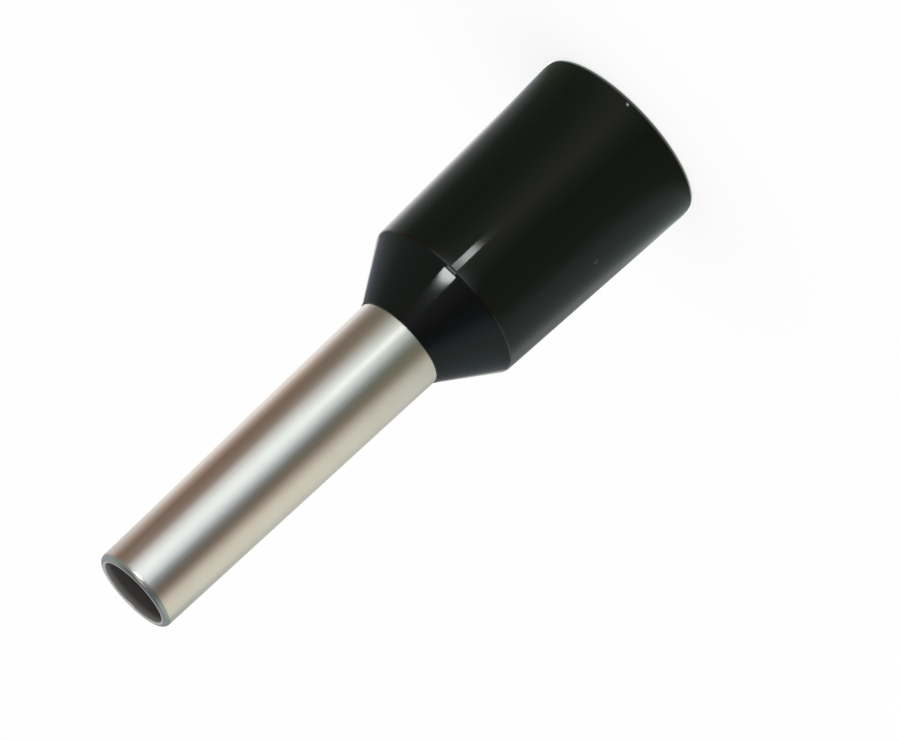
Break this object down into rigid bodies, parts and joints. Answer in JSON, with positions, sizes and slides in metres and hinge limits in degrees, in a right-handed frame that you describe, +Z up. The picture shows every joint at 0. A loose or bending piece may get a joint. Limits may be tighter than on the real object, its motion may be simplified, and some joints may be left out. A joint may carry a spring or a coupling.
{
  "type": "insulated wire ferrule",
  "caption": "Crimp ferrule for a stranded wire end: a satin plated metal tube, belled inside a gloss black plastic collar that is open for the insulation.",
  "frame": {"origin": "centre of the collar's open end, on the surface that the ferrule stands on", "axes": "+Z up the common axis of collar and tube, towards the tip of the pin; X and Y are square to it and alike, because the part is round"},
  "size_m": [0.0042, 0.0042, 0.0145],
  "materials": {
    "tinned_copper": "satin tin plate on copper, with faint drawing lines along the tube",
    "black_collar": "smooth gloss moulding"
  },
  "bodies": {
    "root": {"crimp_tube": "tinned_copper", "insulating_collar": "black_collar"}
  },
  "joints": []
}
